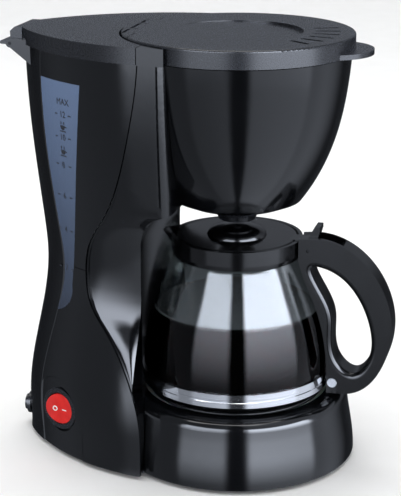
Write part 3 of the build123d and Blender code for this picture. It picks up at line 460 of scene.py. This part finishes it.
# Hoses from tank to heater and up to the spray arm, and the ring that seals the hot plate.
# Extruded and moulded silicone rubber: milky, soft to the eye, a little cloudy inside.
cloud_size = 6 * mm
silicone, tree, coords = start_material("milky_silicone")
cloud = add_node(tree, "ShaderNodeTexNoise", {"Vector": coords, "Scale": 1 / cloud_size, "Detail": 3.0})
colour = add_node(
    tree,
    "ShaderNodeMix",
    {0: cloud.outputs[0], 6: linear("#cfcdc4"), 7: linear("#e6e4dc")},
    data_type="RGBA",
)
shader = add_node(
    tree,
    "ShaderNodeBsdfPrincipled",
    {"Base Color": colour.outputs[2], "Roughness": 0.45, "IOR": 1.41, "Subsurface Weight": 0.35},
)
add_node(tree, "ShaderNodeOutputMaterial", {"Surface": shader.outputs[0]})
dress(silicone, "inlet_hose", "riser_hose", "plate_seal")

# Water tank behind the side panels.
# Injection-moulded polypropylene, left natural: cloudy white that lets light through to the gauge.
natural_pp, tree, coords = start_material("natural_polypropylene")
cloud = add_node(tree, "ShaderNodeTexNoise", {"Vector": coords, "Scale": 1 / tone_size, "Detail": 2.0})
colour = add_node(
    tree,
    "ShaderNodeMix",
    {0: cloud.outputs[0], 6: linear("#c6cdd6"), 7: linear("#dfe4ea")},
    data_type="RGBA",
)
shader = add_node(
    tree,
    "ShaderNodeBsdfPrincipled",
    {"Base Color": colour.outputs[2], "Roughness": 0.35, "IOR": 1.49, "Transmission Weight": 0.4},
)
add_node(tree, "ShaderNodeOutputMaterial", {"Surface": shader.outputs[0]})
fit(tank_cut, natural_pp, "housing")
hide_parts("water_tank")

# Water gauge: a long window in the near side of the tank, with the cup scale printed on it.
# Moulded in tinted clear SAN with a frosted inner face, welded into the tank wall.
# Its own colour is blue-grey. Painted light makes it paler at the top, where light comes into the tank, and
# painted shade makes it darker towards the bottom.
gauge_low, gauge_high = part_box("level_window")
gauge_san, tree, coords = start_material("frosted_blue_san")
height = add_node(tree, "ShaderNodeSeparateXYZ", {"Vector": coords})
# Painted light and shade: this height map runs from 0 at the window's foot to 1 at its top.
depth = add_node(
    tree,
    "ShaderNodeMapRange",
    {"Value": height.outputs["Z"], "From Min": gauge_low.z, "From Max": gauge_high.z},
)
frost = add_node(tree, "ShaderNodeTexNoise", {"Vector": coords, "Scale": 1 / cloud_size, "Detail": 3.0})
# Painted shade (#333c4e) at the foot, painted light (#6a7fa3) at the top, over the window's own blue-grey.
colour = add_node(
    tree,
    "ShaderNodeMix",
    {0: depth.outputs[0], 6: linear("#333c4e"), 7: linear("#6a7fa3")},
    data_type="RGBA",
)
gloss = add_node(tree, "ShaderNodeMapRange", {"Value": frost.outputs[0], "To Min": 0.16, "To Max": 0.28})
shader = add_node(
    tree,
    "ShaderNodeBsdfPrincipled",
    {
        "Base Color": colour.outputs[2],
        "Roughness": gloss.outputs[0],
        "IOR": 1.57,
        "Transmission Weight": 0.2,
    },
)
add_node(tree, "ShaderNodeOutputMaterial", {"Surface": shader.outputs[0]})
dress(gauge_san, "level_window")

# Gauge scale: cup numbers from 2 to 12 with a tick each side, MAX above them, and a cup sign in two gaps.
# Pad-printed in black ink, a film of 0.1 mm that follows the curve of the window.
ink_film = 0.12 * mm
number_size = 6.4 * mm
tick_length = 3.0 * mm
tick_width = 0.8 * mm
tick_reach = 7.5 * mm
scale_heights = {"MAX": 264, "12": 255, "10": 238.5, "8": 218, "6": 194.5, "4": 168.5, "2": 138.5}
cup_heights = (246.6, 228.6)
scale_top_y = 111.3 * mm
scale_lean = 0.052
cup_r = 2.6 * mm
cup_sides = 24
brim_rise = cup_r / 4
saucer_length, saucer_drop = 2.6 * cup_r, 1.35 * cup_r
ear_length, ear_reach, ear_drop = 0.9 * cup_r, 1.2 * cup_r, 0.1 * cup_r
steam_length, steam_reach, steam_rise = 0.8 * cup_r, 0.6 * cup_r, 0.95 * cup_r
bar_end = 1 / 2.2

# Printing ink is dull black and a little thin in places.
ink, tree, coords = start_material("black_printing_ink")
thin = add_node(tree, "ShaderNodeTexNoise", {"Vector": coords, "Scale": 1 / grain_size, "Detail": 2.0})
colour = add_node(
    tree,
    "ShaderNodeMix",
    {0: thin.outputs[0], 6: linear("#111318"), 7: linear("#2a2e37")},
    data_type="RGBA",
)
shader = add_node(
    tree, "ShaderNodeBsdfPrincipled", {"Base Color": colour.outputs[2], "Roughness": 0.55, "IOR": 1.5}
)
add_node(tree, "ShaderNodeOutputMaterial", {"Surface": shader.outputs[0]})


def mark_place(node, y, z):
    """A spot 1 mm off the left face of a CAD node, and the turn of a flat mark along that face."""
    spot, facing = left_face(node, y, z)
    return spot + facing * mm, (radians(90), 0, atan2(facing.x, -facing.y))


def gauge_spot(height_mm):
    """Where the scale's middle line meets the window at a height, and the turn of a mark there."""
    y = scale_top_y + scale_lean * (scale_heights["MAX"] - height_mm) * mm
    return mark_place("level_window", y, height_mm * mm)


def settle_on(mark, carrier, film):
    """Press a flat mark on to the surface behind it, thicken it and put its place in its mesh."""
    only(mark)
    wrap = mark.modifiers.new("wrap", "SHRINKWRAP")
    wrap.target = frame["nodes"][carrier]
    wrap.wrap_method = "PROJECT"
    wrap.use_project_z = True
    wrap.use_negative_direction = True
    wrap.use_positive_direction = True
    wrap.offset = film / 4
    bpy.ops.object.modifier_apply(modifier=wrap.name)
    skin = mark.modifiers.new("film", "SOLIDIFY")
    skin.thickness = film
    skin.offset = 1
    bpy.ops.object.modifier_apply(modifier=skin.name)
    bpy.ops.object.transform_apply(location=True, rotation=True, scale=True)


def flat_text(words, size, spot, turn):
    """Words as a flat mesh, centred on a spot and facing along its local Z."""
    bpy.ops.object.text_add(location=spot, rotation=turn)
    text = bpy.context.object
    text.data.body = words
    text.data.size = size
    text.data.align_x = "CENTER"
    text.data.align_y = "CENTER"
    bpy.ops.object.convert(target="MESH")
    return bpy.context.object


def flat_bar(length, width, spot, turn, across=0.0, up=0.0):
    """A short flat bar, moved across and up in its own plane, with its ends rounded."""
    bpy.ops.mesh.primitive_plane_add(size=1, location=spot, rotation=turn)
    bar = bpy.context.object
    edit_all()
    bpy.ops.transform.resize(value=(length, width, 1), orient_type="LOCAL")
    bpy.ops.mesh.bevel(offset=width * bar_end, segments=3, affect="VERTICES")
    leave_edit()
    axes = bar.rotation_euler.to_matrix()
    bar.location = bar.location + axes @ Vector((across, up, 0))
    return bar


for words, height_mm in scale_heights.items():
    spot, turn = gauge_spot(height_mm)
    marks = [flat_text(words, number_size, spot, turn)]
    if words != "MAX":
        marks += [flat_bar(tick_length, tick_width, spot, turn, side * tick_reach) for side in (-1, 1)]
    mark = joined(marks, f"gauge_mark_{words.lower()}")
    settle_on(mark, "level_window", ink_film)
    mark.data.materials.append(ink)
    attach(mark, "housing")

for number, height_mm in enumerate(cup_heights):
    spot, turn = gauge_spot(height_mm)
    bpy.ops.mesh.primitive_circle_add(
        vertices=cup_sides, radius=cup_r, fill_type="NGON", location=spot, rotation=turn
    )
    cup = bpy.context.object
    edit_all()
    bpy.ops.mesh.bisect(plane_co=spot + Vector((0, 0, brim_rise)), plane_no=(0, 0, 1), clear_outer=True)
    leave_edit()
    saucer = flat_bar(saucer_length, tick_width, spot, turn, 0.0, -saucer_drop)
    ear = flat_bar(ear_length, tick_width, spot, turn, ear_reach, -ear_drop)
    steam = [
        flat_bar(tick_width, steam_length, spot, turn, side * steam_reach, steam_rise) for side in (-1, 1)
    ]
    sign = joined([cup, saucer, ear] + steam, f"gauge_cup_{number + 1}")
    settle_on(sign, "level_window", ink_film)
    sign.data.materials.append(ink)
    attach(sign, "housing")

# Mesh filter in the basket.
# Woven nylon in a moulded frame: a golden-brown cloth of crossed threads.
# The real threads are 0.3 mm apart, drawn at 1.2 mm to show.
thread_pitch = 1.2 * mm
# At a scale of one, the bands of a wave texture are this far apart.
wave_pitch = 0.314
nylon, tree, coords = start_material("woven_nylon_mesh")
threads = [
    add_node(
        tree,
        "ShaderNodeTexWave",
        {"Vector": coords, "Scale": wave_pitch / thread_pitch},
        wave_type="BANDS",
        bands_direction=direction,
    )
    for direction in ("X", "Z")
]
weave = add_node(
    tree,
    "ShaderNodeMath",
    {0: threads[0].outputs["Fac"], 1: threads[1].outputs["Fac"]},
    operation="MAXIMUM",
)
colour = add_node(
    tree,
    "ShaderNodeMix",
    {0: weave.outputs[0], 6: linear("#4a3214"), 7: linear("#b48a4a")},
    data_type="RGBA",
)
bump = add_node(tree, "ShaderNodeBump", {"Strength": 0.6, "Distance": 0.2 * mm, "Height": weave.outputs[0]})
shader = add_node(
    tree,
    "ShaderNodeBsdfPrincipled",
    {"Base Color": colour.outputs[2], "Roughness": 0.4, "IOR": 1.53, "Normal": bump.outputs[0]},
)
add_node(tree, "ShaderNodeOutputMaterial", {"Surface": shader.outputs[0]})
dress(nylon, "mesh_filter")

# Rocker switch in the side of the base.
# Moulded in clear red polycarbonate, so that its edges glow, and rocked on two stub pins.
red_pc, tree, coords = start_material("red_polycarbonate")
depth = add_node(tree, "ShaderNodeTexNoise", {"Vector": coords, "Scale": 1 / cloud_size, "Detail": 2.0})
colour = add_node(
    tree,
    "ShaderNodeMix",
    {0: depth.outputs[0], 6: linear("#c8100c"), 7: linear("#ee2a20")},
    data_type="RGBA",
)
shader = add_node(
    tree,
    "ShaderNodeBsdfPrincipled",
    {
        "Base Color": colour.outputs[2],
        "Roughness": 0.16,
        "IOR": 1.58,
        "Subsurface Weight": 0.3,
        "Subsurface Radius": (3 * mm, 0.3 * mm, 0.2 * mm),
    },
)
add_node(tree, "ShaderNodeOutputMaterial", {"Surface": shader.outputs[0]})
dress(red_pc, "rocker")

# Off and on marks of the rocker: a ring on its rear half and a bar on its front half.
# Pad-printed in white, over the scooped face.
white_film = 0.15 * mm
ring_r = 2.0 * mm
ring_width = 0.75 * mm
ring_sides = 32
rocker_height = 35.6 * mm
ring_y = 123.4 * mm
bar_y = 115.6 * mm
white_ink, tree, coords = start_material("white_printing_ink")
thin = add_node(tree, "ShaderNodeTexNoise", {"Vector": coords, "Scale": 1 / grain_size, "Detail": 2.0})
colour = add_node(
    tree,
    "ShaderNodeMix",
    {0: thin.outputs[0], 6: linear("#e9e9e6"), 7: linear("#fbfbfa")},
    data_type="RGBA",
)
shader = add_node(
    tree, "ShaderNodeBsdfPrincipled", {"Base Color": colour.outputs[2], "Roughness": 0.45, "IOR": 1.5}
)
add_node(tree, "ShaderNodeOutputMaterial", {"Surface": shader.outputs[0]})
spot, turn = mark_place("rocker", ring_y, rocker_height)
bpy.ops.mesh.primitive_circle_add(
    vertices=ring_sides, radius=ring_r, fill_type="NGON", location=spot, rotation=turn
)
ring = bpy.context.object
ring.name = "rocker_off_ring"
edit_all()
bpy.ops.mesh.inset(thickness=ring_width)
bpy.ops.mesh.delete(type="FACE")
leave_edit()
settle_on(ring, "rocker", white_film)
spot, turn = mark_place("rocker", bar_y, rocker_height)
bar = flat_bar(2 * ring_r, ring_width, spot, turn)
bar.name = "rocker_on_bar"
settle_on(bar, "rocker", white_film)
for mark in (ring, bar):
    mark.data.materials.append(white_ink)
    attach(mark, "rocker")

# Jug body: a round pot with a wide neck, standing on the hot plate.
# Borosilicate glass, blown in a mould: quite clear, with long slow waves in its wall.
# Below the coffee's surface the inner face is wet and gives no reflection, so the shine there is less.
wave_size = 30 * mm
coffee_top = 112 * mm
wet_edge = 0.5 * mm
wet_ior, dry_ior = 1.29, 1.47
glass, tree, coords = start_material("borosilicate_glass")
waves = add_node(tree, "ShaderNodeTexNoise", {"Vector": coords, "Scale": 1 / wave_size, "Detail": 1.0})
bump = add_node(tree, "ShaderNodeBump", {"Strength": 0.1, "Distance": 0.2 * mm, "Height": waves.outputs[0]})
height = add_node(tree, "ShaderNodeSeparateXYZ", {"Vector": coords}).outputs["Z"]
wet_shine = add_node(
    tree,
    "ShaderNodeMapRange",
    {
        "Value": height,
        "From Min": coffee_top - wet_edge,
        "From Max": coffee_top + wet_edge,
        "To Min": wet_ior,
        "To Max": dry_ior,
    },
)
shader = add_node(
    tree,
    "ShaderNodeBsdfPrincipled",
    {
        "Base Color": linear("#f3f8f6"),
        "Roughness": 0.0,
        "IOR": wet_shine.outputs[0],
        "Transmission Weight": 1.0,
        "Normal": bump.outputs[0],
    },
)
add_node(tree, "ShaderNodeOutputMaterial", {"Surface": shader.outputs[0]})
dress(glass, "glass_jug")

# Coffee in the jug, up to about eight cups.
# A dark brown liquid that light passes only at its thin edges, where it turns red.
# It wets the glass, so it is drawn to just under the outer face, where only the glass gives a reflection.
edge_rise = 1.0 * mm
edge_reach = 3.8 * mm
coffee_sides = 96
brew_density = 800.0
side_ior, surface_ior = 1.02, 1.33
rim_angle = radians(40)
# Each ring of its side in mm: radius and height, from the jug's floor to the coffee's surface.
coffee_rings = (
    (55.8, 54.2),
    (61.8, 57.0),
    (65.3, 63.0),
    (66.5, 72.0),
    (65.9, 82.0),
    (64.5, 91.0),
    (62.1, 102.0),
    (59.5, coffee_top / mm),
)
(low_r, low_z), *rings = coffee_rings
bpy.ops.mesh.primitive_circle_add(
    vertices=coffee_sides, radius=low_r * mm, fill_type="NGON", location=(0, 0, low_z * mm)
)
coffee = bpy.context.object
coffee.name = "coffee"
bpy.ops.object.transform_apply(location=True, rotation=True, scale=True)
edit_all()
last_r, last_z = low_r, low_z
for ring_radius, ring_z in rings:
    bpy.ops.mesh.extrude_region_move(TRANSFORM_OT_translate={"value": (0, 0, (ring_z - last_z) * mm)})
    grow = ring_radius / last_r
    bpy.ops.transform.resize(value=(grow, grow, 1), center_override=(0, 0, 0))
    last_r, last_z = ring_radius, ring_z
bpy.ops.mesh.inset(thickness=edge_reach, depth=-edge_rise)
bpy.ops.mesh.select_all(action="SELECT")
bpy.ops.mesh.normals_make_consistent(inside=False)
leave_edit()
bpy.ops.object.shade_smooth_by_angle(angle=rim_angle)
brew, tree, coords = start_material("brewed_coffee")
swirl = add_node(tree, "ShaderNodeTexNoise", {"Vector": coords, "Scale": 1 / tone_size, "Detail": 2.0})
colour = add_node(
    tree,
    "ShaderNodeMix",
    {0: swirl.outputs[0], 6: linear("#8a3a1c"), 7: linear("#a8522a")},
    data_type="RGBA",
)
height = add_node(tree, "ShaderNodeSeparateXYZ", {"Vector": coords}).outputs["Z"]
surface_shine = add_node(
    tree,
    "ShaderNodeMapRange",
    {
        "Value": height,
        "From Min": coffee_top - 2 * edge_rise,
        "From Max": coffee_top - 1.5 * edge_rise,
        "To Min": side_ior,
        "To Max": surface_ior,
    },
)
shader = add_node(
    tree,
    "ShaderNodeBsdfPrincipled",
    {
        "Base Color": colour.outputs[2],
        "Roughness": 0.02,
        "IOR": surface_shine.outputs[0],
        "Transmission Weight": 1.0,
    },
)
steep = add_node(tree, "ShaderNodeVolumeAbsorption", {"Color": linear("#b04a1e"), "Density": brew_density})
add_node(
    tree, "ShaderNodeOutputMaterial", {"Surface": shader.outputs[0], "Volume": steep.outputs[0]}
)
coffee.data.materials.append(brew)
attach(coffee, "carafe")

# Jug fittings: collar with the spout, handle, and lid with its thumb lever.
# Black polypropylene, moulded with a low gloss, held to the glass by the collar and the band.
shine_size = 22 * mm
jug_pp, tree, coords = start_material("black_polypropylene")
shine = add_node(tree, "ShaderNodeTexNoise", {"Vector": coords, "Scale": 1 / shine_size, "Detail": 3.0})
colour = add_node(
    tree,
    "ShaderNodeMix",
    {0: shine.outputs[0], 6: linear("#050506"), 7: linear("#0a0b0d")},
    data_type="RGBA",
)
gloss = add_node(tree, "ShaderNodeMapRange", {"Value": shine.outputs[0], "To Min": 0.10, "To Max": 0.20})
shader = add_node(
    tree,
    "ShaderNodeBsdfPrincipled",
    {"Base Color": colour.outputs[2], "Roughness": gloss.outputs[0], "IOR": 1.45},
)
add_node(tree, "ShaderNodeOutputMaterial", {"Surface": shader.outputs[0]})
dress(jug_pp, "jug_collar", "jug_handle", "jug_lid")

# Band round the jug and the screw that draws it tight through the foot of the handle.
# Rolled stainless steel strip, polished, with a rolled groove; it mirrors the room in bright and dark bars.
roll_size = 0.35 * mm
roll_length = 40 * mm
stainless, tree, coords = start_material("polished_stainless_steel")
along = add_node(
    tree,
    "ShaderNodeMapping",
    {"Vector": coords, "Scale": (1 / roll_length, 1 / roll_length, 1 / roll_size)},
)
rolled = add_node(tree, "ShaderNodeTexNoise", {"Vector": along.outputs[0], "Scale": 1.0, "Detail": 2.0})
gloss = add_node(tree, "ShaderNodeMapRange", {"Value": rolled.outputs[0], "To Min": 0.05, "To Max": 0.14})
bump = add_node(
    tree, "ShaderNodeBump", {"Strength": 0.1, "Distance": 0.01 * mm, "Height": rolled.outputs[0]}
)
shader = add_node(
    tree,
    "ShaderNodeBsdfPrincipled",
    {
        "Base Color": linear("#dcdddf"),
        "Metallic": 1.0,
        "Roughness": gloss.outputs[0],
        "Normal": bump.outputs[0],
    },
)
add_node(tree, "ShaderNodeOutputMaterial", {"Surface": shader.outputs[0]})
dress(stainless, "jug_strap")
dress(zinc_steel, "handle_screw")

# Studio floor: a wide pale sheet under the machine.
# Matt white laminate; it is left out of the gloss, so that the black skins mirror the softboxes alone.
floor_side = 12.0
bpy.ops.mesh.primitive_plane_add(size=floor_side, location=(0, 0, 0))
floor = bpy.context.object
floor.name = "studio_floor"
floor.visible_glossy = False
floor.visible_transmission = False
laminate, tree, coords = start_material("white_laminate")
speck = add_node(tree, "ShaderNodeTexNoise", {"Vector": coords, "Scale": 1 / tone_size, "Detail": 3.0})
colour = add_node(
    tree,
    "ShaderNodeMix",
    {0: speck.outputs[0], 6: linear("#f2f2f1"), 7: linear("#f8f8f8")},
    data_type="RGBA",
)
shader = add_node(
    tree, "ShaderNodeBsdfPrincipled", {"Base Color": colour.outputs[2], "Roughness": 0.9, "IOR": 1.45}
)
add_node(tree, "ShaderNodeOutputMaterial", {"Surface": shader.outputs[0]})
floor.data.materials.append(laminate)

# Room light: a white studio with a bright softbox on each side of the camera and a dark gap between them.
# Gloss and glass see the softboxes and the dim room behind the set.
# The camera and dull surfaces see plain white. Angles are in degrees.
camera_way = radians(-165)
room_white = 1.1
dome_white = 0.85
room_left, room_right = 0.30, 1.0
side_turn = 60.0
back_low, back_high = 0.05, 0.30
back_rise = (-5.0, 12.0)
back_turn = (95.0, 135.0)
gap_light = 0.05
gap_half = 10.5
softboxes = ((-56.0, -gap_half, 9.0), (gap_half, 78.0, 16.0))
box_low, box_full, box_high = -24.0, 22.0, 32.0
box_foot = 0.02
edge_soft = 4.0
world = bpy.data.worlds.new("white_studio")
bpy.context.scene.world = world
world.cycles.sampling_method = "NONE"
world.use_nodes = True
tree = world.node_tree
tree.nodes.clear()
look = add_node(tree, "ShaderNodeTexCoord").outputs["Generated"]
turned = add_node(
    tree,
    "ShaderNodeVectorRotate",
    {"Vector": look, "Angle": -camera_way},
    rotation_type="Z_AXIS",
)
axes = add_node(tree, "ShaderNodeSeparateXYZ", {"Vector": turned.outputs[0]})
around = add_node(
    tree, "ShaderNodeMath", {0: axes.outputs["Y"], 1: axes.outputs["X"]}, operation="ARCTAN2"
)
across = add_node(tree, "ShaderNodeMath", {0: around.outputs[0]}, operation="DEGREES").outputs[0]
turn_away = add_node(tree, "ShaderNodeMath", {0: across}, operation="ABSOLUTE").outputs[0]
level = add_node(tree, "ShaderNodeMath", {0: axes.outputs["Z"]}, operation="ARCSINE")
rise = add_node(tree, "ShaderNodeMath", {0: level.outputs[0]}, operation="DEGREES").outputs[0]

# Smooth slopes of light: the angle that each follows, its start and end, and the light at both.
side_room, back_room, box_fade, box_top = [
    add_node(
        tree,
        "ShaderNodeMapRange",
        {"Value": angle, "From Min": start, "From Max": end, "To Min": low, "To Max": high},
        interpolation_type="SMOOTHSTEP",
    ).outputs[0]
    for angle, start, end, low, high in (
        (across, -side_turn, side_turn, room_left, room_right),
        (rise, *back_rise, back_low, back_high),
        (rise, box_low, box_full, box_foot, 1.0),
        (rise, box_high - edge_soft, box_high + edge_soft, 1.0, 0.0),
    )
]
back_start, back_end = back_turn
room = add_node(
    tree,
    "ShaderNodeMapRange",
    {
        "Value": turn_away,
        "From Min": back_start,
        "From Max": back_end,
        "To Min": side_room,
        "To Max": back_room,
    },
    interpolation_type="SMOOTHSTEP",
)


def soft_window(left, right):
    """Light that is one between two angles across the room and zero outside them, with soft edges."""
    edges = [
        add_node(
            tree,
            "ShaderNodeMapRange",
            {
                "Value": across,
                "From Min": edge - edge_soft,
                "From Max": edge + edge_soft,
                "To Min": before,
                "To Max": after,
            },
            interpolation_type="SMOOTHSTEP",
        ).outputs[0]
        for edge, before, after in ((left, 0.0, 1.0), (right, 1.0, 0.0))
    ]
    return add_node(tree, "ShaderNodeMath", {0: edges[0], 1: edges[1]}, operation="MULTIPLY").outputs[0]


gap = soft_window(-gap_half, gap_half)
light = add_node(
    tree, "ShaderNodeMapRange", {"Value": gap, "To Min": room.outputs[0], "To Max": gap_light}
).outputs[0]
tall = add_node(tree, "ShaderNodeMath", {0: box_fade, 1: box_top}, operation="MULTIPLY").outputs[0]
for left, right, strength in softboxes:
    wide = soft_window(left, right)
    face = add_node(tree, "ShaderNodeMath", {0: wide, 1: tall}, operation="MULTIPLY")
    glow = add_node(tree, "ShaderNodeMath", {0: face.outputs[0], 1: strength}, operation="MULTIPLY")
    light = add_node(tree, "ShaderNodeMath", {0: light, 1: glow.outputs[0]}, operation="ADD").outputs[0]
path = add_node(tree, "ShaderNodeLightPath")
lit = add_node(tree, "ShaderNodeBackground", {"Color": linear("#e4ecfb"), "Strength": light})
white = add_node(
    tree,
    "ShaderNodeMapRange",
    {"Value": path.outputs["Is Camera Ray"], "To Min": dome_white, "To Max": room_white},
)
plain = add_node(tree, "ShaderNodeBackground", {"Color": linear("#ffffff"), "Strength": white.outputs[0]})
dull = add_node(
    tree,
    "ShaderNodeMath",
    {0: path.outputs["Is Camera Ray"], 1: path.outputs["Is Diffuse Ray"]},
    operation="MAXIMUM",
)
seen = add_node(tree, "ShaderNodeMixShader", {0: dull.outputs[0], 1: lit.outputs[0], 2: plain.outputs[0]})
add_node(tree, "ShaderNodeOutputWorld", {"Surface": seen.outputs[0]})

# Overhead softbox: a square lamp above and behind the machine, for the lids and for the soft shadow.
# It stays unseen by the camera.
lamp_side = 1.2
lamp_spot = (0.25, 0.15, 1.6)
lamp_power = 14.0
bpy.ops.object.light_add(type="AREA", location=lamp_spot)
lamp = bpy.context.object
lamp.name = "overhead_softbox"
lamp.data.shape = "SQUARE"
lamp.data.size = lamp_side
lamp.data.energy = lamp_power
lamp.visible_camera = False

# Camera: a long lens, well to the left of the machine's front and a little above it.
# Its place was fitted to the photograph from the round lid, base and jug.
camera_spot = (-1.0442, -0.2527, 0.4871)
camera_pitch = 72.71
camera_turn = -75.0
camera_lens = 113.5
bpy.ops.object.camera_add(location=camera_spot, rotation=(radians(camera_pitch), 0, radians(camera_turn)))
camera = bpy.context.object
camera.data.lens = camera_lens
camera.data.dof.use_dof = False
bpy.context.scene.camera = camera
bpy.context.scene.view_settings.view_transform = "Standard"
